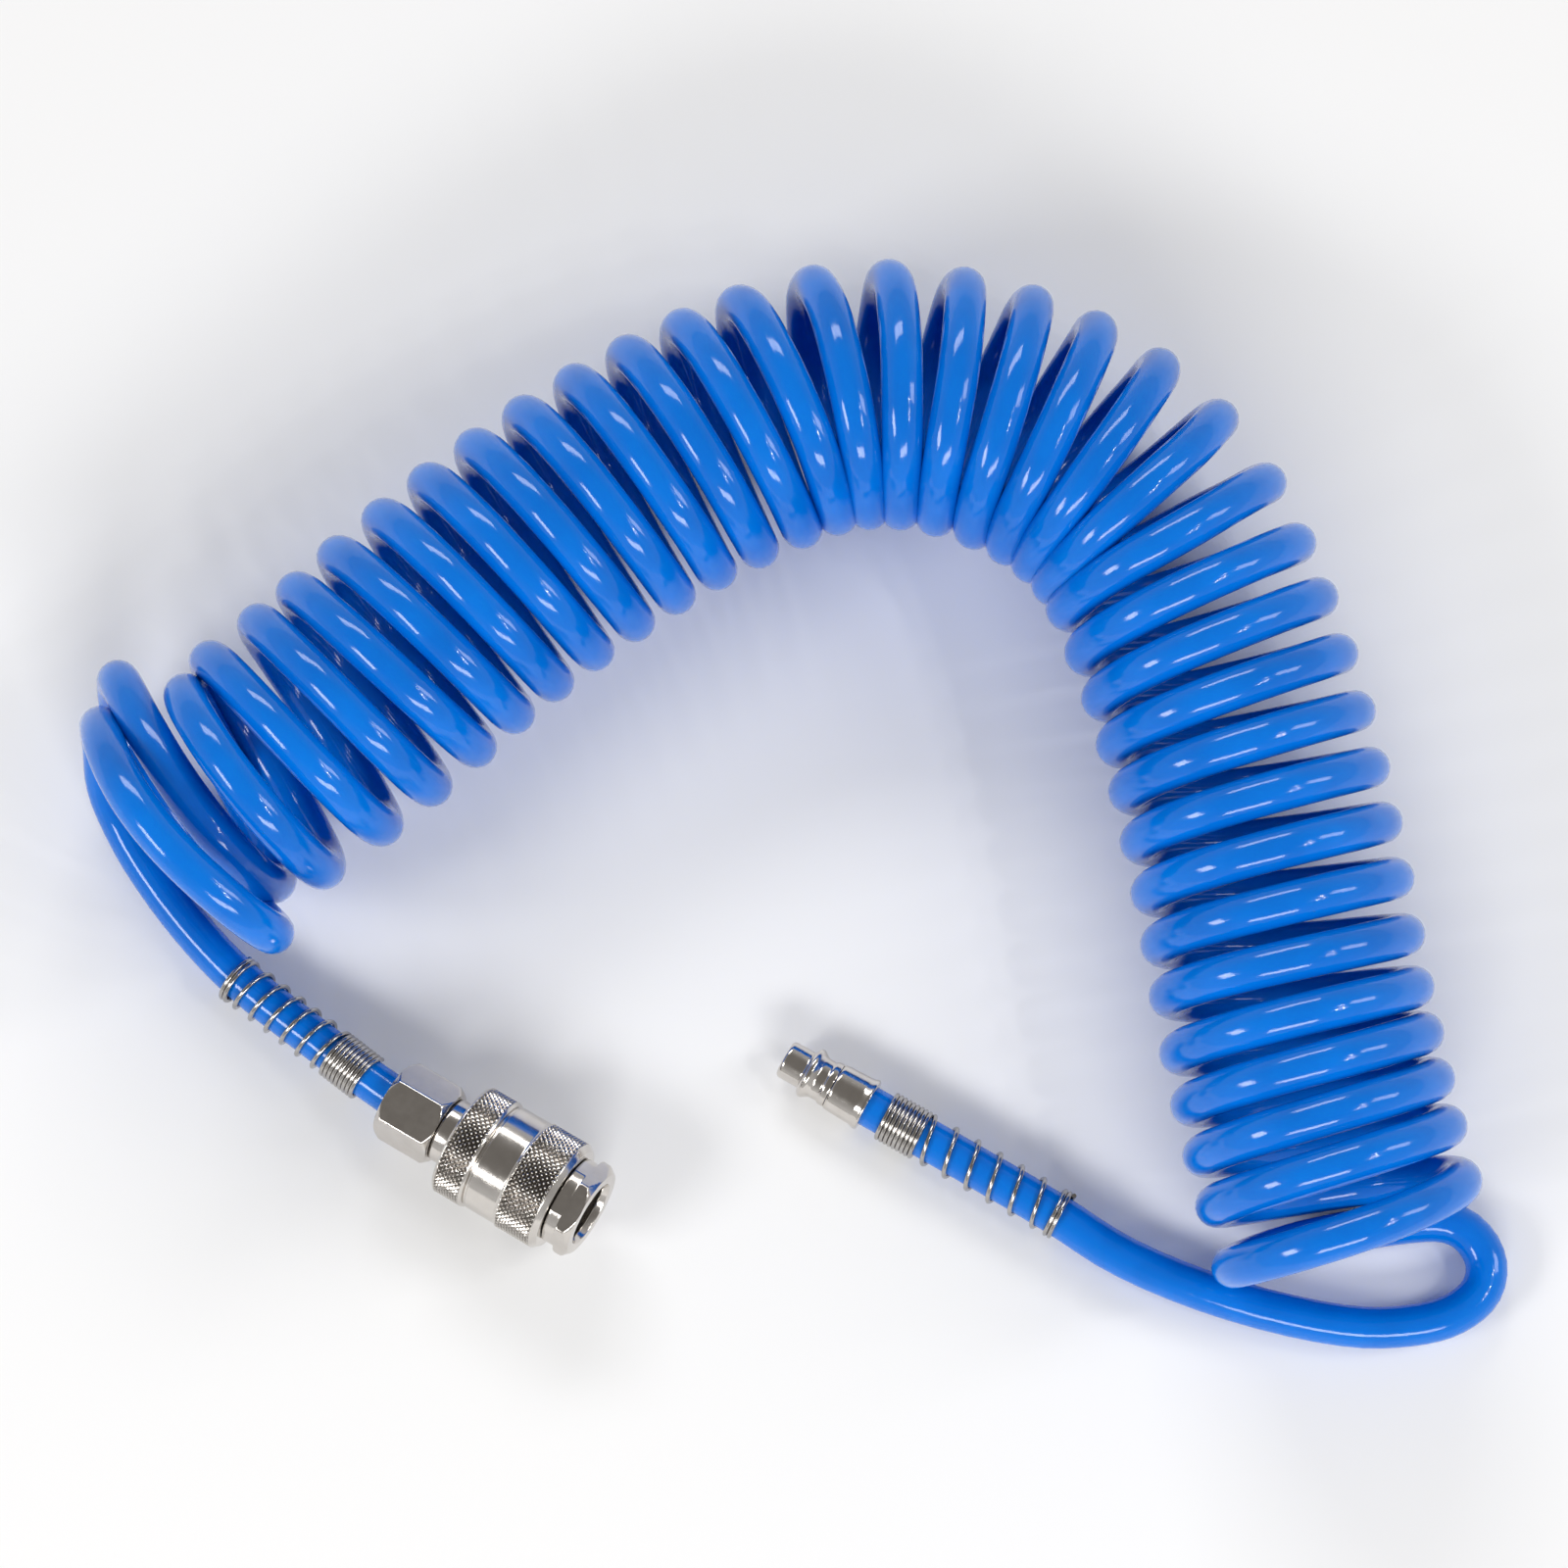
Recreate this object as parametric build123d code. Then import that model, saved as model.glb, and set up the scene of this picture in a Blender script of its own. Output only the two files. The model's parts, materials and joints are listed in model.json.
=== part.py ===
from build123d import *

import os
from math import cos, pi, radians, sin, sqrt, tan

os.makedirs("parts", exist_ok=True)

# A polyurethane recoil air hose, 8 mm outside and 5 mm inside, wound into a springy coil.
# One end carries a quick coupler with a spring-loaded sleeve, the other its quick plug.
# Millimetres, +Z up, floor at z = 0, origin below the middle of the two fittings.

# Hose
HOSE_R = 4.0
HOSE_BORE_R = 2.5
COIL_R = 26.6
COIL_Z = 26.6
COIL_WALL = 2.6

# Where the fittings lie, with their axes turned in plan from the X axis
COUPLER_AT = (-47.4, 0.6, 9.51)
COUPLER_TURN = -31.0
COUPLER_TILT = 6.0
PLUG_AT = (27.0, 8.9, 5.3)
PLUG_TURN = -30.0

# Hose routes, from the coupler to the coil, along the coil, and from the plug to the coil
COUPLER_ROUTE = [(-88, 35, 4), (-98, 47, 4), (-106, 64, 6), (-97, 70, 18)]
COIL_ROUTE = [
    (-89, 52), (-64, 69), (-31, 100), (6, 126), (46, 142),
    (93, 124), (110, 84), (119, 42), (124, 6), (132, -25),
]
PLUG_ROUTE = [
    (91, -29.5, 4), (112, -39, 4), (134, -44, 4), (153, -41.5, 4),
    (161, -31, 5), (156, -21, 8), (142, -16, 15),
]

# Wire guards on the hose
GUARD_R = 5.0
GUARD_WIRE = 0.9
COUPLER_GUARD = (-5.0, -39.0)
COUPLER_GUARD_TURN = -37.7
COUPLER_HOSE_BEND = -1.0
PLUG_GUARD = (21.8, 61.3)
GUARD_TURNS = 12

# Coupler, along its own axis from the rear of the nut (0) to the mouth
HEXAGON_TURN = 12.0
NUT_FLATS = 14.3
NUT_LENGTH = 11.9
NUT_THREAD_R = 5.4
NUT_SHOULDER = 8.0
HOSE_END = 8.1
BARB_END = 8.2
FLOW_R = 1.3
NECK_R = 6.5
NECK_END = 16.4
SPIGOT_R = 5.6
SPIGOT_END = 19.6
SEAL_END = 20.4
BODY_START = 17.4
BODY_R = 7.75
COLLAR_START = 38.9
COLLAR_R = 8.75
FLANGE_START = 41.4
MOUTH = 44.5
FLANGE_FLATS = 17.0
GROOVE_START = 26.2
GROOVE_END = 28.6
SEAL_INNER_R = 3.9
BORE_START = 35.2
BORE_END = 43.2
BORE_R = 6.0
GUIDE_R = 5.45
BALL_R = 1.75
BALL_AXIS = 6.1
BALL_X = 33.0
BALL_COUNT = 6
BALL_HOLE_R = 1.8
SLEEVE_START = 15.7
SLEEVE_END = 38.7
SLEEVE_LIP = 37.9
SLEEVE_LAND_START = 27.0
SLEEVE_LAND_R = 7.95
SPRING_MEAN_R = 8.45
SPRING_WIRE = 1.0
VALVE_R = 4.6
VALVE_BACK = 22.2
VALVE_FACE = 23.8
VALVE_SEAT = 24.6
VALVE_SPRING_START = 12.5

# Plug, along its own axis from the tip (0) towards the hose
NOSE_R = 3.8
NOSE_LENGTH = 4.9
RIDGE_R = 5.2
GROOVE_R = 4.15
BARREL_START = 9.8
BARREL_R = 4.55
BARREL_END = 18.4
PLUG_HOSE_END = 10.8


def axis_plane(at, turn, tilt):
    """A plane at a fitting's start, with its Z along the fitting's axis."""
    turn, tilt = radians(turn), radians(tilt)
    along = Vector(cos(tilt) * cos(turn), cos(tilt) * sin(turn), sin(tilt))
    sideways = Vector(-sin(turn), cos(turn), 0)
    return Plane(origin=at, x_dir=sideways, z_dir=along)


def on_axis(plane, distance):
    spot = plane.origin + plane.z_dir * distance
    return (spot.X, spot.Y, spot.Z)


COUPLER = axis_plane(COUPLER_AT, COUPLER_TURN, COUPLER_TILT)
GUARD = axis_plane(on_axis(COUPLER, COUPLER_HOSE_BEND), COUPLER_GUARD_TURN, COUPLER_TILT)
PLUG = axis_plane(PLUG_AT, PLUG_TURN, 0)
WORLD = Plane.XY


def turned(outline):
    """A solid of revolution from (distance along the axis, radius) points."""
    points = [(radius, along) for along, radius in outline]
    face = make_face(Polyline(*points, close=True))
    return revolve(Plane.XZ * face, Axis.Z)


def rod(radius, start, end):
    return Pos(0, 0, start) * Cylinder(radius, end - start, align=(Align.CENTER, Align.CENTER, Align.MIN))


def hexagon(flats, start, end):
    section = RegularPolygon(flats / 2, 6, major_radius=False, rotation=HEXAGON_TURN)
    return extrude(Plane.XY.offset(start) * section, end - start)


def spring(radius, wire, start, end, turns):
    """An open coil spring whose wire stays inside start and end."""
    height = end - start - wire
    path = Helix(pitch=height / turns, height=height, radius=radius)
    section = Plane(path @ 0, z_dir=path % 0) * Circle(wire / 2)
    return Pos(0, 0, start + wire / 2) * sweep(section, path, is_frenet=True)


def save(plane, shape, node):
    placed = plane.location * shape
    export_step(placed, f"parts/{node}.step")
    solids = placed.solids()
    print(node, "solids", len(solids), "volume mm3", round(placed.volume, 1), "valid", placed.is_valid)
    return placed


# Coupler


def hose_nut():
    blank = hexagon(NUT_FLATS, 0, NUT_LENGTH)
    corner = NUT_FLATS / sqrt(3)
    rim = corner - 1.1
    bevel = 1.4
    rear = [(0, 0), (0, rim), (bevel, corner)]
    front = [(NUT_LENGTH - bevel, corner), (NUT_LENGTH, rim), (NUT_LENGTH, 0)]
    chamfers = turned(rear + front)
    hose_hole = rod(HOSE_R + 0.1, 0, NUT_SHOULDER)
    thread = rod(NUT_THREAD_R, NUT_SHOULDER, NUT_LENGTH)
    return (blank & chamfers) - hose_hole - thread


def rear_adaptor():
    neck_start = NUT_LENGTH + 0.1
    barb = [(1, FLOW_R), (1, 2.1), (2, HOSE_BORE_R), (BARB_END, HOSE_BORE_R)]
    shank = [(BARB_END, NUT_THREAD_R), (neck_start, NUT_THREAD_R), (neck_start, NECK_R), (NECK_END, NECK_R)]
    spigot = [(NECK_END, SPIGOT_R), (SPIGOT_END, SPIGOT_R), (SPIGOT_END, 3.6)]
    spring_pocket = [(VALVE_SPRING_START, 3.6), (VALVE_SPRING_START, FLOW_R)]
    return turned(barb + shank + spigot + spring_pocket)


def adaptor_seal():
    return turned([(SPIGOT_END, 4.2), (SPIGOT_END, SPIGOT_R), (SEAL_END, SPIGOT_R), (SEAL_END, 4.2)])


def spring_seat():
    inner = SPIGOT_R + 0.1
    return turned([(NECK_END, inner), (NECK_END, 9.0), (BODY_START, 9.0), (BODY_START, inner)])


def coupler_body():
    barrel = turned([(BODY_START, 0), (BODY_START, BODY_R), (COLLAR_START, BODY_R), (COLLAR_START, 0)])
    collar = rod(COLLAR_R, COLLAR_START, FLANGE_START)
    rounding = turned([(FLANGE_START, 0), (FLANGE_START, 9.6), (43.4, 9.6), (MOUTH, 8.6), (MOUTH, 0)])
    flange = hexagon(FLANGE_FLATS, FLANGE_START, MOUTH) & rounding
    socket = [(BODY_START, 0), (BODY_START, SPIGOT_R), (SEAL_END, SPIGOT_R)]
    chamber = [(SEAL_END, 4.9), (VALVE_SEAT, 4.9)]
    throat = [(VALVE_SEAT, SEAL_INNER_R), (GROOVE_START, SEAL_INNER_R)]
    groove = [(GROOVE_START, 5.0), (GROOVE_END, 5.0), (GROOVE_END, 4.1), (29.2, 4.1)]
    guide = [(30.2, GUIDE_R), (BORE_START, GUIDE_R)]
    mouth = [(BORE_START, BORE_R), (BORE_END, BORE_R), (MOUTH, 6.6), (MOUTH, 0)]
    shape = barrel + collar + flange - turned(socket + chamber + throat + groove + guide + mouth)
    for number in range(BALL_COUNT):
        around = Rot(0, 0, 360 / BALL_COUNT * number)
        pocket = rod(BALL_HOLE_R, 0, 4) + Sphere(BALL_HOLE_R)
        shape -= around * Pos(BALL_AXIS, 0, BALL_X) * Rot(0, 90, 0) * pocket
    return shape


def coupler_sleeve():
    rear_knurl = [(SLEEVE_START, 10.9), (16.1, 11.25), (22.4, 11.25), (22.8, 10.6)]
    smooth_band = [(23.2, 10.85), (29.7, 10.85)]
    front_knurl = [(30.0, 11.15), (SLEEVE_LIP, 11.15), (SLEEVE_END, 10.4)]
    lip = [(SLEEVE_END, 8.05), (SLEEVE_LIP, 8.05)]
    ball_relief = [(SLEEVE_LIP, 9.05), (36.24, 9.05)]
    land = [(32.8, SLEEVE_LAND_R), (SLEEVE_LAND_START, SLEEVE_LAND_R)]
    spring_chamber = [(SLEEVE_LAND_START, 9.3), (SLEEVE_START, 9.3)]
    return turned(rear_knurl + smooth_band + front_knurl + lip + ball_relief + land + spring_chamber)


def sleeve_spring():
    return spring(SPRING_MEAN_R, SPRING_WIRE, BODY_START, SLEEVE_LAND_START, 5)


def locking_ball(number):
    return Rot(0, 0, 360 / BALL_COUNT * number) * Pos(BALL_AXIS, 0, BALL_X) * Sphere(BALL_R)


def mouth_seal():
    inner = SEAL_INNER_R
    return turned([(GROOVE_START, inner), (GROOVE_START, 5.0), (GROOVE_END, 5.0), (GROOVE_END, inner)])


def valve_poppet():
    head = rod(VALVE_R, VALVE_BACK, VALVE_FACE)
    nose = turned([(VALVE_FACE, 0), (VALVE_FACE, 3.3), (26.4, 2.6), (26.4, 0)])
    vent = Pos(0, 0, VALVE_FACE) * Box(1.6, 8, 6, align=(Align.CENTER, Align.CENTER, Align.MIN))
    return head + nose + rod(2.2, 19.5, VALVE_BACK) - vent


def valve_seal():
    front = VALVE_SEAT - 0.02
    return turned([(VALVE_FACE, 3.4), (VALVE_FACE, VALVE_R), (front, VALVE_R), (front, 3.4)])


def valve_spring():
    return spring(2.8, 0.6, VALVE_SPRING_START, VALVE_BACK, 6)


# Guards


def guard(near, far):
    """Wire guard, coiled evenly from its end by the fitting to its far end."""
    low, high = sorted((near, far))
    return spring(GUARD_R - GUARD_WIRE / 2, GUARD_WIRE, low, high, GUARD_TURNS)


# Plug


def plug_body():
    nose = [(0, 2.0), (0, NOSE_R - 0.4), (0.4, NOSE_R), (NOSE_LENGTH, NOSE_R)]
    ridge = [(NOSE_LENGTH + 0.6, RIDGE_R - 0.3), (5.9, RIDGE_R), (6.3, RIDGE_R - 0.2)]
    groove = [(7.6, GROOVE_R), (9.2, GROOVE_R), (BARREL_START, BARREL_R), (PLUG_HOSE_END, BARREL_R)]
    barb = [(PLUG_HOSE_END, HOSE_BORE_R), (17, HOSE_BORE_R), (18, 2.1)]
    flow = [(18, FLOW_R), (10, FLOW_R), (9, 2.0)]
    return turned(nose + ridge + groove + barb + flow)


def crimp_ferrule():
    wall = [(PLUG_HOSE_END, HOSE_R), (PLUG_HOSE_END, 4.75), (17.2, 5.0)]
    lip = [(17.8, 5.3), (18.2, 5.3), (BARREL_END, 5.0), (BARREL_END, HOSE_R)]
    return turned(wall + lip)


# Hose


def corner_radii(points):
    """The largest easy radius at each corner: 0.45 of the shorter run over the tangent of half the turn."""
    places = [Vector(*point) for point in points]
    runs = [after - before for before, after in zip(places, places[1:])]
    radii = []
    for before, after in zip(runs, runs[1:]):
        half = radians(before.get_angle(after)) / 2
        radii.append(0.45 * min(before.length, after.length) / tan(half))
    return radii


def tube(points, radius):
    radii = corner_radii(points)
    path = FilletPolyline(*points, radius=radii)
    section = Plane(path @ 0, z_dir=path % 0) * Circle(radius)
    shape = sweep(section, path)
    print("runs", [round((Vector(*b) - Vector(*a)).length) for a, b in zip(points, points[1:])])
    print("radii", [round(value) for value in radii], "length", round(path.length, 1))
    print("volume over section times length", round(shape.volume / (pi * radius**2 * path.length), 4))
    return shape


def coupler_tail_route():
    bend = on_axis(COUPLER, COUPLER_HOSE_BEND)
    return [on_axis(COUPLER, HOSE_END), bend, on_axis(GUARD, COUPLER_GUARD[1] + 2)] + COUPLER_ROUTE


def plug_tail_route():
    return [on_axis(PLUG, PLUG_HOSE_END), on_axis(PLUG, PLUG_GUARD[1] - 2)] + PLUG_ROUTE


def coil_route():
    return [(x, y, COIL_Z) for x, y in COIL_ROUTE]


save(COUPLER, hose_nut(), "hose_nut")
save(COUPLER, rear_adaptor(), "rear_adaptor")
save(COUPLER, adaptor_seal(), "adaptor_seal")
save(COUPLER, spring_seat(), "spring_seat")
save(COUPLER, coupler_body(), "coupler_body")
save(COUPLER, coupler_sleeve(), "coupler_sleeve")
save(COUPLER, sleeve_spring(), "sleeve_spring")
for number in range(BALL_COUNT):
    save(COUPLER, locking_ball(number), f"locking_ball_{number + 1}")
save(COUPLER, mouth_seal(), "mouth_seal")
save(COUPLER, valve_poppet(), "valve_poppet")
save(COUPLER, valve_seal(), "valve_seal")
save(COUPLER, valve_spring(), "valve_spring")
save(GUARD, guard(*COUPLER_GUARD), "coupler_guard")
save(PLUG, plug_body(), "plug_body")
save(PLUG, crimp_ferrule(), "crimp_ferrule")
save(PLUG, guard(*PLUG_GUARD), "plug_guard")

coil = tube(coil_route(), COIL_R)
hollow = tube(coil_route(), COIL_R - COIL_WALL)
save(WORLD, coil - hollow, "hose_coil")
for route, node in [(coupler_tail_route(), "coupler_hose_tail"), (plug_tail_route(), "plug_hose_tail")]:
    save(WORLD, tube(route, HOSE_R) - tube(route, HOSE_BORE_R) - coil, node)
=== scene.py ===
import json
from math import ceil, cos, floor, pi, radians, sin, sqrt, tau

import bpy
from mathutils import Matrix, Vector


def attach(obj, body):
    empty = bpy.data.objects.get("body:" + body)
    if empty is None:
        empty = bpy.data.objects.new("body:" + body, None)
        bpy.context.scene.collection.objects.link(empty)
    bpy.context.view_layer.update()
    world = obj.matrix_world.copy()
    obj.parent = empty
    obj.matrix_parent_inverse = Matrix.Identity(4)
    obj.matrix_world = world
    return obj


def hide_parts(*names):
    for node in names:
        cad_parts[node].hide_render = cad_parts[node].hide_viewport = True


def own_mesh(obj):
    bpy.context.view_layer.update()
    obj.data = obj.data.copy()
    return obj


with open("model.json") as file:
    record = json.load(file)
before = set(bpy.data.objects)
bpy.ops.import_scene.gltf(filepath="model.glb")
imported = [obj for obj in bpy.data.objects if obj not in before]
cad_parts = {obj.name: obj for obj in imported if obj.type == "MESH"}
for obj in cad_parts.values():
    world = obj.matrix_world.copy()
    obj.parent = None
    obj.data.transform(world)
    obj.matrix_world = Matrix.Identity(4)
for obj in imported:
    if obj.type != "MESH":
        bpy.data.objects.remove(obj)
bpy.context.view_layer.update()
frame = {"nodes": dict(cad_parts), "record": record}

# A polyurethane recoil air hose with a knurled quick coupler and its quick plug. Metres, +Z up.

MM = 0.001
ROOT = "hose_set"


# Camera and light


VIEW_HEIGHT = radians(78)
VIEW_DISTANCE = 1.0
VIEW_CENTRE = Vector((0.0268, 0.0636, 0.0))


def add_camera():
    data = bpy.data.cameras.new("camera")
    data.sensor_width = 36
    data.lens = 118.1
    data.clip_start = 0.01
    data.clip_end = 20
    camera = bpy.data.objects.new("camera", data)
    camera.location = VIEW_CENTRE + VIEW_DISTANCE * Vector((0, -cos(VIEW_HEIGHT), sin(VIEW_HEIGHT)))
    camera.rotation_euler = (pi / 2 - VIEW_HEIGHT, 0, 0)
    bpy.context.collection.objects.link(camera)
    bpy.context.scene.camera = camera


def add_softbox(name, place, size, power, colour=(1, 1, 1)):
    data = bpy.data.lights.new(name, "AREA")
    data.shape = "RECTANGLE"
    data.size = size[0]
    data.size_y = size[1]
    data.energy = power
    data.color = colour
    light = bpy.data.objects.new(name, data)
    light.location = VIEW_CENTRE + Vector(place)
    light.rotation_euler = (-Vector(place)).to_track_quat("-Z", "Y").to_euler()
    bpy.context.collection.objects.link(light)


def add_world(overhead, level):
    """Soft light from all round, darker and warmer overhead than at eye level."""
    world = bpy.data.worlds.new("studio")
    world.use_nodes = True
    tree = world.node_tree
    place = tree.nodes.new("ShaderNodeTexCoord")
    split = tree.nodes.new("ShaderNodeSeparateXYZ")
    shade = tree.nodes.new("ShaderNodeValToRGB")
    shade.color_ramp.elements[0].position = 0.15
    shade.color_ramp.elements[0].color = (*level, 1)
    shade.color_ramp.elements[1].position = 0.85
    shade.color_ramp.elements[1].color = (*overhead, 1)
    tree.links.new(place.outputs["Generated"], split.inputs["Vector"])
    tree.links.new(split.outputs["Z"], shade.inputs["Fac"])
    tree.links.new(shade.outputs["Color"], tree.nodes["Background"].inputs["Color"])
    bpy.context.scene.world = world


def add_lamp_cluster(name, place, spots, size, power):
    """A few small lamps side by side, which show as a cluster of small highlights."""
    for number, (right, up) in enumerate(spots, 1):
        add_softbox(f"{name}_{number}", (place[0] + right, place[1] + up, place[2]), (size, size), power)


# Material helpers


def new_material(name, colour, metallic, roughness):
    material = bpy.data.materials.new(name)
    material.use_nodes = True
    shader = material.node_tree.nodes["Principled BSDF"]
    shader.inputs["Base Color"].default_value = (*colour, 1)
    shader.inputs["Metallic"].default_value = metallic
    shader.inputs["Roughness"].default_value = roughness
    return material, shader


def add_node(material, kind, **values):
    node = material.node_tree.nodes.new(kind)
    for name, value in values.items():
        node.inputs[name.replace("_", " ")].default_value = value
    return node


def join(material, start, end):
    material.node_tree.links.new(start, end)


def object_coordinates(material, stretch=(1, 1, 1)):
    place = material.node_tree.nodes.new("ShaderNodeTexCoord")
    mapping = material.node_tree.nodes.new("ShaderNodeMapping")
    mapping.inputs["Scale"].default_value = stretch
    join(material, place.outputs["Object"], mapping.inputs["Vector"])
    return mapping.outputs["Vector"]


def noise(material, vector, scale, detail=4.0):
    node = add_node(material, "ShaderNodeTexNoise", Scale=scale, Detail=detail)
    join(material, vector, node.inputs["Vector"])
    return node.outputs["Fac"]


def ramp(material, factor, low, high):
    """The factor, spread from low to high."""
    node = material.node_tree.nodes.new("ShaderNodeMapRange")
    node.inputs["From Min"].default_value = 0.3
    node.inputs["From Max"].default_value = 0.7
    node.inputs["To Min"].default_value = low
    node.inputs["To Max"].default_value = high
    join(material, factor, node.inputs["Value"])
    return node.outputs["Result"]


def colour_ramp(material, factor, low, high):
    node = material.node_tree.nodes.new("ShaderNodeValToRGB")
    node.color_ramp.elements[0].position = 0.3
    node.color_ramp.elements[0].color = (*low, 1)
    node.color_ramp.elements[1].position = 0.7
    node.color_ramp.elements[1].color = (*high, 1)
    join(material, factor, node.inputs["Fac"])
    return node.outputs["Color"]


def add_bump(material, shader, height, strength, distance):
    node = add_node(material, "ShaderNodeBump", Strength=strength, Distance=distance)
    join(material, height, node.inputs["Height"])
    join(material, node.outputs["Normal"], shader.inputs["Normal"])


# Materials


def hose_material():
    material, shader = new_material("blue_polyurethane", (0.0, 0.17, 0.68), 0, 0.1)
    vector = object_coordinates(material)
    colour = colour_ramp(material, noise(material, vector, 60), (0.0, 0.15, 0.62), (0.0, 0.19, 0.74))
    join(material, colour, shader.inputs["Base Color"])
    join(material, ramp(material, noise(material, vector, 900), 0.07, 0.14), shader.inputs["Roughness"])
    shader.inputs["IOR"].default_value = 1.45
    shader.inputs["Subsurface Weight"].default_value = 0.12
    shader.inputs["Subsurface Radius"].default_value = (0.2, 0.5, 1.0)
    shader.inputs["Subsurface Scale"].default_value = 0.003
    add_bump(material, shader, noise(material, vector, 350), 0.15, 0.0002)
    return material


def metal(name, low, high, smooth, rough, marks):
    """Bright metal with fine turning marks round the fitting's axis and small stains."""
    material, shader = new_material(name, high, 1, smooth)
    around = object_coordinates(material, (40, 40, 6000))
    plain = object_coordinates(material)
    colour = colour_ramp(material, noise(material, plain, 260), low, high)
    join(material, colour, shader.inputs["Base Color"])
    join(material, ramp(material, noise(material, plain, 700), smooth, rough), shader.inputs["Roughness"])
    add_bump(material, shader, noise(material, around, 1, 2), marks, 0.00005)
    return material


def knurled_metal(name, high, groove, smooth, rough):
    """The same metal with painted shade in the knurl grooves: a darker colour, told apart by the mesh's
    groove depth.
    """
    material = metal(name, tuple(0.9 * value for value in high), high, smooth, rough, 0.06)
    shader = material.node_tree.nodes["Principled BSDF"]
    depth = material.node_tree.nodes.new("ShaderNodeAttribute")
    depth.attribute_name = "groove"
    stained = shader.inputs["Base Color"].links[0].from_socket
    # Painted shade: the dark groove colour is mixed in where the knurl is cut deepest.
    mix = material.node_tree.nodes.new("ShaderNodeMix")
    mix.data_type = "RGBA"
    colour_a = next(socket for socket in mix.inputs if socket.name == "A" and socket.type == "RGBA")
    groove_shade_colour = next(socket for socket in mix.inputs if socket.name == "B" and socket.type == "RGBA")
    groove_shade_colour.default_value = (*groove, 1)
    join(material, depth.outputs["Fac"], mix.inputs["Factor"])
    join(material, stained, colour_a)
    colour = next(socket for socket in mix.outputs if socket.type == "RGBA")
    join(material, colour, shader.inputs["Base Color"])
    return material


def rubber_material():
    material, shader = new_material("black_nitrile", (0.012, 0.012, 0.012), 0, 0.5)
    vector = object_coordinates(material)
    join(material, ramp(material, noise(material, vector, 1500), 0.4, 0.65), shader.inputs["Roughness"])
    add_bump(material, shader, noise(material, vector, 4000), 0.2, 0.00003)
    return material


def floor_material():
    material, shader = new_material("floor_paint", (0.92, 0.92, 0.92), 0, 0.9)
    vector = object_coordinates(material)
    join(material, ramp(material, noise(material, vector, 30), 0.85, 0.95), shader.inputs["Roughness"])
    return material


# Piece helpers


# Where the nut's and the flange's flats face
HEXAGON_TURN = radians(18)
# Sizes in mm
KNURL_DEPTH = 0.42
KNURL_PITCH = 1.2
KNURL_TEETH = 58
KNURL_FADE = 0.25
# The knurl is only cut where the sleeve is at least this wide: its bands, not its ends or its bore
KNURL_LEAST_RADIUS = 10.5
GUARD_WIRE = 0.9
GUARD_MEAN = 4.56
GUARD_CLOSED_TURNS = 9
GUARD_OPEN_TURNS = 6
GUARD_END_RINGS = 2


def mount(name):
    return next(item for item in frame["record"]["mounts"] if item["name"] == name)


def fitting_matrix(at, axis):
    """Local Z along the fitting's axis, local X level and sideways, as in the CAD."""
    along = Vector(axis).normalized()
    sideways = Vector((-along.y, along.x, 0)).normalized()
    up = along.cross(sideways)
    matrix = Matrix((sideways, up, along)).transposed().to_4x4()
    matrix.translation = at
    return matrix


MOUTH_MIDDLE = 39.2 * MM
NOSE_MIDDLE = 2.65 * MM
mouth = mount("coupler_mouth")
nose = mount("plug_nose")
COUPLER = fitting_matrix(Vector(mouth["pos_m"]) - MOUTH_MIDDLE * Vector(mouth["axis"]), mouth["axis"])
PLUG = fitting_matrix(Vector(nose["pos_m"]) + NOSE_MIDDLE * Vector(nose["axis"]), -Vector(nose["axis"]))
GUARD_TURN = radians(-37.7)
GUARD_TILT = radians(6)
GUARD_AXIS = (cos(GUARD_TILT) * cos(GUARD_TURN), cos(GUARD_TILT) * sin(GUARD_TURN), sin(GUARD_TILT))
GUARD = fitting_matrix(COUPLER @ Vector((0, 0, -1 * MM)), GUARD_AXIS)


def finish_piece(piece, material, body, nodes):
    piece.data.materials.append(material)
    if nodes:
        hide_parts(*nodes)
    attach(piece, body)
    return piece


def mesh_piece(name, points, faces, matrix, smooth_angle=radians(35)):
    mesh = bpy.data.meshes.new(name)
    mesh.from_pydata(points, [], faces)
    mesh.validate()
    mesh.update()
    mesh.shade_smooth()
    mesh.set_sharp_from_angle(angle=smooth_angle)
    piece = bpy.data.objects.new(name, mesh)
    piece.matrix_world = matrix
    bpy.context.collection.objects.link(piece)
    return piece


def rounded(outline, fillet, steps=4):
    """The closed outline with each corner cut by a small curve."""
    points = [Vector(point) for point in outline]
    result = []
    for index, corner in enumerate(points):
        before = points[index - 1] - corner
        after = points[(index + 1) % len(points)] - corner
        reach = min(fillet, before.length * 0.45, after.length * 0.45)
        start = corner + before.normalized() * reach
        end = corner + after.normalized() * reach
        for step in range(steps + 1):
            t = step / steps
            result.append((1 - t) ** 2 * start + 2 * t * (1 - t) * corner + t * t * end)
    return result


def spread(outline, longest):
    """The closed outline with points added so that no run is longer than this."""
    result = []
    for index, point in enumerate(outline):
        run = outline[(index + 1) % len(outline)] - point
        count = max(1, ceil(run.length / longest))
        result += [point + run * step / count for step in range(count)]
    return result


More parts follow.
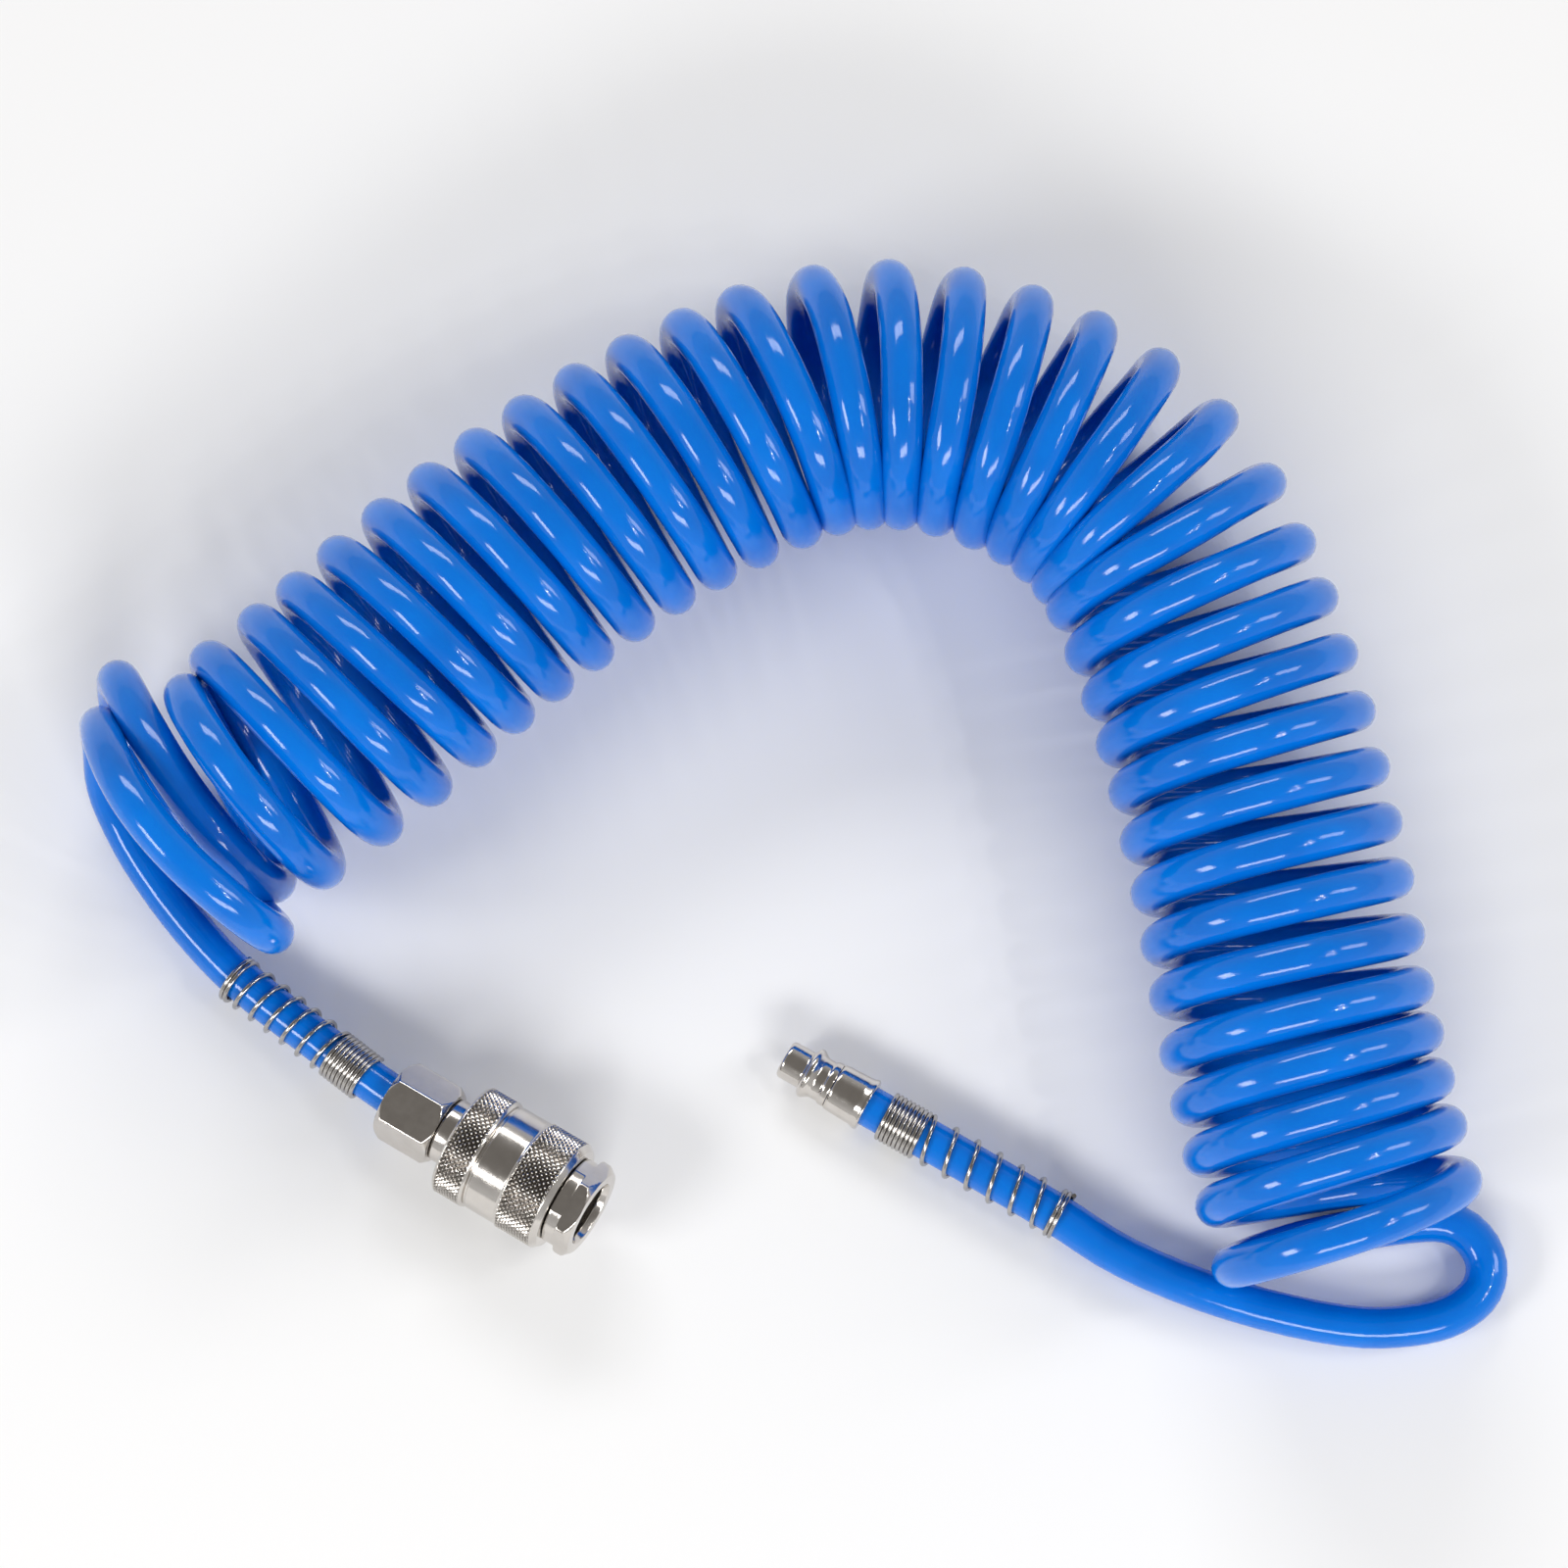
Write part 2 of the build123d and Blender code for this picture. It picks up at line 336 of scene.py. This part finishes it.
def turned(name, outline, matrix, around=128, fillet=0.15, flats=None, shape=None, longest=None):
    """A ring turned from (distance along, radius) points in mm, with optional flats or pattern."""
    points = rounded(outline, fillet)
    if longest:
        points = spread(points, longest)
    vertices = []
    depths = []
    for along, radius in points:
        for index in range(around):
            angle = tau * index / around
            r = radius
            if flats:
                r = min(r, hexagon_radius(angle, flats))
            if shape:
                r = shape(angle, along, r)
            depths.append(min(1.0, (radius - r) / KNURL_DEPTH))
            vertices.append((r * MM * cos(angle), r * MM * sin(angle), along * MM))
    rows = len(points)
    faces = []
    for row in range(rows):
        below = (row + 1) % rows
        for index in range(around):
            beside = (index + 1) % around
            here, under = row * around, below * around
            faces.append((here + index, here + beside, under + beside, under + index))
    piece = mesh_piece(name, vertices, faces, matrix)
    # The groove depth becomes the mask for the shade painted into the knurl grooves.
    if shape:
        piece.data.attributes.new("groove", "FLOAT", "POINT").data.foreach_set("value", depths)
    return piece


def hexagon_radius(angle, flats):
    """Radius of a hexagon with slightly rounded corners."""
    turn = (angle + pi / 6 + HEXAGON_TURN) % (pi / 3) - pi / 6
    sharp = flats / 2 / cos(turn)
    return min(sharp, flats / 2 * 1.145)


def knurl(start, end):
    """Diamond knurl between two distances along the axis: crossed V grooves."""

    def groove(value):
        return max(0.0, 1 - abs(2 * (value - floor(value)) - 1) * 1.25)

    def shape(angle, along, radius):
        if radius < KNURL_LEAST_RADIUS or along <= start or along >= end:
            return radius
        turn = angle / tau * KNURL_TEETH
        step = along / KNURL_PITCH
        fade = min(1.0, (along - start) / KNURL_FADE, (end - along) / KNURL_FADE)
        return radius - KNURL_DEPTH * fade * max(groove(turn + step), groove(turn - step))

    return shape


# Coupler


def coupler_nut(material):
    flats = 14.3
    rim = flats / sqrt(3) - 1.1
    outside = [(0, rim), (1.5, rim + 1.2), (10.4, rim + 1.2), (11.9, rim)]
    inside = [(11.9, 5.4), (8.0, 5.4), (8.0, 4.1), (0, 4.1)]
    piece = turned("hose_nut_chamfered", outside + inside, COUPLER, 240, 0.25, flats=flats, longest=0.25)
    return finish_piece(piece, material, ROOT, ["hose_nut"])


def coupler_neck(material):
    outside = [
        (1, 2.1), (2, 2.5), (8.2, 2.5), (8.2, 5.4), (12.0, 5.4), (12.0, 6.3), (12.4, 6.5), (16.4, 6.5),
    ]
    inside = [(16.4, 5.6), (19.6, 5.6), (19.6, 3.6), (12.5, 3.6), (12.5, 1.3), (1, 1.3)]
    piece = turned("rear_adaptor_neck", outside + inside, COUPLER, 96, 0.12)
    return finish_piece(piece, material, ROOT, ["rear_adaptor"])


def coupler_barrel(material):
    outside = [(17.4, 7.75), (38.9, 7.75), (38.9, 8.75), (41.4, 8.75)]
    flange = [(41.4, 9.5), (41.8, 9.75), (43.2, 9.75), (44.5, 8.5)]
    inside = [
        (44.5, 6.5), (43.2, 6.0), (35.2, 6.0), (35.2, 5.45), (30.2, 5.45), (29.2, 4.1), (28.6, 4.1),
        (28.6, 5.0), (26.2, 5.0), (26.2, 3.9), (24.6, 3.9), (24.6, 4.9), (20.4, 4.9), (20.4, 5.6),
        (17.4, 5.6),
    ]
    piece = turned(
        "coupler_body_flanged", outside + flange + inside, COUPLER, 240, 0.2, flats=17.0, longest=0.4,
    )
    return finish_piece(piece, material, ROOT, ["coupler_body"])


def sleeve_outline():
    outside = [
        (15.7, 10.85), (16.15, 11.25), (21.9, 11.25), (22.35, 10.95), (22.5, 10.35), (23.0, 10.35),
        (23.15, 10.85), (29.4, 10.85), (29.75, 11.15), (37.6, 11.15), (38.7, 10.2),
    ]
    inside = [
        (38.7, 8.05), (37.9, 8.05), (37.9, 9.05), (36.24, 9.05), (32.8, 7.95), (27, 7.95), (27, 9.3),
        (15.7, 9.3),
    ]
    return outside + inside


def coupler_sleeve(material):
    rear = knurl(16.2, 21.8)
    front = knurl(29.9, 37.5)
    band_middle = 25
    around = 16 * KNURL_TEETH

    def both(angle, along, radius):
        return rear(angle, along, radius) if along < band_middle else front(angle, along, radius)

    piece = turned("coupler_sleeve_knurled", sleeve_outline(), COUPLER, around, 0.12, shape=both, longest=0.1)
    return finish_piece(piece, material, "sleeve", ["coupler_sleeve"])


# Plug


def plug_nipple(material):
    outside = [
        (0, 3.4), (0.5, 3.8), (4.7, 3.8), (5.0, 4.6), (5.5, 5.15), (6.1, 5.15), (6.7, 4.7), (7.5, 4.2),
        (9.1, 4.15), (9.5, 4.5), (10.8, 4.55),
    ]
    inside = [(10.8, 2.5), (17, 2.5), (18, 2.1), (18, 1.3), (10, 1.3), (9, 2.0), (0, 2.0)]
    piece = turned("plug_body_turned", outside + inside, PLUG, 128, 0.3)
    return finish_piece(piece, material, ROOT, ["plug_body"])


def plug_ferrule(material):
    outside = [
        (10.85, 4.55), (11.3, 4.75), (16.6, 4.95), (17.3, 5.15), (17.8, 5.3), (18.2, 5.3), (18.4, 5.0),
    ]
    inside = [(18.4, 4.02), (10.85, 4.02)]
    piece = turned("crimp_ferrule_flared", outside + inside, PLUG, 128, 0.2)
    return finish_piece(piece, material, ROOT, ["crimp_ferrule"])


# Wire guards


def guard_turns(near, far):
    """Angle and height along a guard's wire: closed turns, open turns, a double end ring."""
    wire = GUARD_WIRE
    closed = GUARD_CLOSED_TURNS
    opened = GUARD_OPEN_TURNS
    sign = 1 if far > near else -1
    length = abs(far - near) - wire
    open_pitch = (length - (closed + GUARD_END_RINGS) * wire) / opened
    total = closed + opened + GUARD_END_RINGS
    steps = 24
    heights = []
    for index in range(total * steps + 1):
        turn = index / steps
        height = min(turn, closed) * wire + max(0, min(turn - closed, opened)) * open_pitch
        height += max(0, turn - closed - opened) * wire
        heights.append((tau * turn, near + sign * (wire / 2 + height)))
    return heights


def wire_guard(name, matrix, near, far, material, node):
    data = bpy.data.curves.new(name, "CURVE")
    data.dimensions = "3D"
    data.bevel_depth = GUARD_WIRE / 2 * MM
    data.bevel_resolution = 4
    data.resolution_u = 2
    data.use_fill_caps = True
    spline = data.splines.new("NURBS")
    turns = guard_turns(near, far)
    spline.points.add(len(turns) - 1)
    for point, (angle, along) in zip(spline.points, turns):
        point.co = (GUARD_MEAN * MM * cos(angle), GUARD_MEAN * MM * sin(angle), along * MM, 1)
    spline.order_u = 3
    spline.use_endpoint_u = True
    piece = bpy.data.objects.new(name, data)
    piece.matrix_world = matrix
    bpy.context.collection.objects.link(piece)
    return finish_piece(piece, material, ROOT, [node])


# Springs inside the coupler


def coil_spring(name, mean, wire, start, end, turns, material, node):
    """An open spring of round wire."""
    steps = 32
    sides = 10
    rings = turns * steps
    height = end - start - wire
    vertices = []
    for index in range(rings + 1):
        angle = tau * index / steps
        along = start + wire / 2 + height * index / rings
        for side in range(sides):
            turn = tau * side / sides
            reach = mean + wire / 2 * cos(turn)
            place = Vector((reach * cos(angle), reach * sin(angle), along + wire / 2 * sin(turn)))
            vertices.append(place * MM)
    faces = [tuple(range(sides)), tuple(reversed(range(rings * sides, (rings + 1) * sides)))]
    for index in range(rings):
        for side in range(sides):
            beside = (side + 1) % sides
            row, above = index * sides, (index + 1) * sides
            faces.append((row + side, above + side, above + beside, row + beside))
    piece = mesh_piece(name, vertices, faces, COUPLER, radians(60))
    finish_piece(piece, material, ROOT, [node])
    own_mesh(piece)


# Hose


HOSE_DIAMETER = 0.008
COIL_MEAN_R = 0.0226
COIL_AXIS_Z = 0.0266
COIL_LEAN = 0.12
POINTS_PER_TURN = 16
COIL_ROUTE = [
    (-0.089, 0.052), (-0.064, 0.069), (-0.031, 0.100), (0.006, 0.126), (0.046, 0.142),
    (0.093, 0.124), (0.110, 0.084), (0.119, 0.042), (0.124, 0.006), (0.132, -0.025),
]
COUPLER_ROUTE = [
    (-0.088, 0.035, 0.004), (-0.0965, 0.0465, 0.004), (-0.101, 0.0545, 0.005), (-0.104, 0.0615, 0.0085),
]
PLUG_ROUTE = [
    (0.091, -0.0295, 0.004), (0.112, -0.0378, 0.004), (0.134, -0.0428, 0.004),
    (0.1465, -0.0422, 0.004), (0.154, -0.0402, 0.004), (0.1598, -0.0355, 0.004),
    (0.1605, -0.0285, 0.004), (0.155, -0.0222, 0.004), (0.1455, -0.0222, 0.004),
]
# Share of the coil's length, and the turn reached there; whole turns are at the coil's outer side
TURN_MARKS = [(0.0, -1.1), (0.0378, 1.1), (0.098, 2.81), (0.88, 30.1), (1.0, 34.75)]
# The first turns and the last one hang loose: turn, then forward, outward and up in mm from an even helix
LOOSE_TURNS = [
    (-1.25, (-5.6, 8.3, 5.1)), (-1.0, (-0.4, 1.7, 0.3)), (-0.75, (-3.5, 0.5, 1.9)),
    (-0.5, (2.0, -5.6, 5.0)), (-0.25, (-5.5, 9.6, -0.1)), (0.0, (1.2, 7.8, -1.6)),
    (0.25, (-1.4, 2.1, -5.9)), (0.5, (-0.7, 4.6, -5.9)), (0.75, (2.1, -2.8, 0.2)),
    (1.0, (4.5, -3.1, 3.6)), (1.25, (0.8, -0.9, 2.0)), (1.5, (0, 0, 0)), (1.75, (0, 0, 0)),
    (33.25, (0, 0, 0)), (33.5, (0, 0, 0)), (33.75, (0, 0, 0)), (34.0, (1.2, 0, 0)),
    (34.25, (3.2, 0, 0)), (34.5, (2.2, 0, 0)), (34.75, (-1.2, 0, 0)),
]


def smooth_line(points):
    """Points along the route's NURBS spline, as Blender draws it."""
    data = bpy.data.curves.new("route", "CURVE")
    data.dimensions = "3D"
    data.resolution_u = 24
    spline = data.splines.new("NURBS")
    spline.points.add(len(points) - 1)
    for point, place in zip(spline.points, points):
        point.co = (*place, 1)
    spline.order_u = 3
    spline.use_endpoint_u = True
    route = bpy.data.objects.new("route", data)
    bpy.context.collection.objects.link(route)
    mesh = bpy.data.meshes.new_from_object(route)
    line = [vertex.co.copy() for vertex in mesh.vertices]
    bpy.data.objects.remove(route)
    bpy.data.curves.remove(data)
    bpy.data.meshes.remove(mesh)
    return line


def between(marks, value):
    """The value read off a list of (from, to) marks, on straight lines between them."""
    for (a, start), (b, end) in zip(marks, marks[1:]):
        if value <= b:
            return start + (end - start) * (value - a) / (b - a)
    return marks[-1][1]


def loosened(turn):
    """How far the hose lies from the even helix at this turn, on a smooth curve through LOOSE_TURNS."""
    last = len(LOOSE_TURNS) - 1
    index = next((i for i in range(last) if turn < LOOSE_TURNS[i + 1][0]), last - 1)
    before, start, end, after = (Vector(LOOSE_TURNS[min(max(index + k, 0), last)][1]) for k in (-1, 0, 1, 2))
    t = (turn - LOOSE_TURNS[index][0]) / (LOOSE_TURNS[index + 1][0] - LOOSE_TURNS[index][0])
    bend = 2 * before - 5 * start + 4 * end - after
    twist = 3 * start - before - 3 * end + after
    return (2 * start + (end - before) * t + bend * t * t + twist * t ** 3) / 2 * MM


def coil_points():
    line = smooth_line([(x, y, COIL_AXIS_Z) for x, y in COIL_ROUTE])
    lengths = [0.0]
    for before, after in zip(line, line[1:]):
        lengths.append(lengths[-1] + (after - before).length)
    marks = [(turns, share * lengths[-1]) for share, turns in TURN_MARKS]
    first = marks[0][0]
    count = int((marks[-1][0] - first) * POINTS_PER_TURN)
    # A NURBS curve of order 3 runs this much inside its control points
    shrink = (3 + cos(tau / POINTS_PER_TURN)) / 4
    radius = COIL_MEAN_R / shrink
    points = []
    for index in range(count + 1):
        turn = first + index / POINTS_PER_TURN
        reach = between(marks, turn)
        spot = next(i for i in range(1, len(lengths)) if lengths[i] >= reach - 1e-9 or i == len(lengths) - 1)
        before, after = line[spot - 1], line[spot]
        share = (reach - lengths[spot - 1]) / (lengths[spot] - lengths[spot - 1])
        centre = before.lerp(after, share)
        travel = (after - before).normalized()
        outward = Vector((-travel.y, travel.x, 0))
        up = Vector((0, 0, 1))
        place = centre + radius * (cos(tau * turn) * outward + sin(tau * turn) * up)
        forward_off, outward_off, up_off = loosened(turn)
        place += forward_off * travel + outward_off * outward + up_off * up
        place.y -= COIL_LEAN * place.z
        points.append(place)
    return points


def on_axis(matrix, distance):
    return matrix @ Vector((0, 0, distance * MM))


def hose_points():
    coupler_end = [on_axis(COUPLER, 8.1), on_axis(COUPLER, -1), on_axis(GUARD, -20), on_axis(GUARD, -37)]
    plug_end = [on_axis(PLUG, 59.3), on_axis(PLUG, 35), on_axis(PLUG, 10.8)]
    plug_route = [Vector(point) for point in reversed(PLUG_ROUTE)]
    return coupler_end + [Vector(point) for point in COUPLER_ROUTE] + coil_points() + plug_route + plug_end


def line_length(points):
    return sum((after - before).length for before, after in zip(points, points[1:]))


def hose(material):
    data = bpy.data.curves.new("hose", "CURVE")
    data.dimensions = "3D"
    data.bevel_depth = HOSE_DIAMETER / 2
    data.bevel_resolution = 8
    data.resolution_u = 4
    spline = data.splines.new("NURBS")
    points = hose_points()
    spline.points.add(len(points) - 1)
    for point, place in zip(spline.points, points):
        point.co = (*place, 1)
    spline.order_u = 3
    spline.use_endpoint_u = True
    piece = bpy.data.objects.new("hose", data)
    bpy.context.collection.objects.link(piece)
    finish_piece(piece, material, ROOT, ["hose_coil", "coupler_hose_tail", "plug_hose_tail"])
    length = line_length(smooth_line(points))


# Stage


FLOOR_HALF = 3.0


def add_floor(material):
    mesh = bpy.data.meshes.new("floor")
    size = FLOOR_HALF
    corners = [(-size, -size, 0), (size, -size, 0), (size, size, 0), (-size, size, 0)]
    mesh.from_pydata(corners, [], [(0, 1, 2, 3)])
    floor_piece = bpy.data.objects.new("floor", mesh)
    floor_piece.data.materials.append(material)
    bpy.context.collection.objects.link(floor_piece)


def paint(node, material):
    """Gives a CAD node that stays its finished material."""
    piece = frame["nodes"][node]
    piece.data.materials.clear()
    piece.data.materials.append(material)


add_camera()
add_world((0.20, 0.19, 0.18), (0.60, 0.60, 0.60))
add_softbox("side", (-1.0, -0.5, 0.8), (0.5, 0.3), 6)
add_softbox("front", (0.2, -1.1, 0.75), (0.8, 0.25), 7)
add_softbox("back", (-0.2, 1.0, 0.8), (0.8, 0.25), 5)
add_softbox("right", (1.1, 0.1, 0.8), (0.3, 0.5), 3)
LAMPS = [(0, 0), (0.07, 0.05), (0.02, -0.1), (0.12, -0.06), (-0.02, 0.2)]
add_lamp_cluster("lamp", (0.62, -0.25, 0.8), LAMPS, 0.018, 0.25)
bpy.context.scene.view_settings.view_transform = "Standard"
add_floor(floor_material())

blue = hose_material()
nickel = metal("nickel_plate", (0.62, 0.585, 0.545), (0.69, 0.655, 0.615), 0.11, 0.17, 0.06)
# The third colour is shade painted into the knurl grooves.
knurled = knurled_metal("nickel_plate_knurled", (0.69, 0.655, 0.615), (0.16, 0.14, 0.12), 0.12, 0.18)
steel = metal("hardened_steel", (0.42, 0.42, 0.43), (0.60, 0.60, 0.61), 0.15, 0.30, 0.05)
wire = metal("spring_wire", (0.40, 0.38, 0.36), (0.52, 0.50, 0.48), 0.14, 0.24, 0.02)
brass = metal("turned_brass", (0.55, 0.38, 0.14), (0.78, 0.57, 0.24), 0.18, 0.32, 0.12)
rubber = rubber_material()

hose(blue)
coupler_nut(nickel)
coupler_neck(nickel)
coupler_barrel(nickel)
coupler_sleeve(knurled)
plug_nipple(nickel)
plug_ferrule(nickel)
wire_guard("coupler_guard_wound", GUARD, -5.0, -39.0, wire, "coupler_guard")
wire_guard("plug_guard_wound", PLUG, 21.8, 61.3, wire, "plug_guard")
for node in ("adaptor_seal", "mouth_seal", "valve_seal"):
    paint(node, rubber)
coil_spring(
    "sleeve_spring_wound", mean=8.45, wire=1.0, start=17.4, end=27.0, turns=5,
    material=wire, node="sleeve_spring",
)
coil_spring(
    "valve_spring_wound", mean=2.8, wire=0.6, start=12.5, end=22.2, turns=6,
    material=wire, node="valve_spring",
)
for node in ["spring_seat"] + [f"locking_ball_{number}" for number in range(1, 7)]:
    paint(node, steel)
paint("valve_poppet", brass)
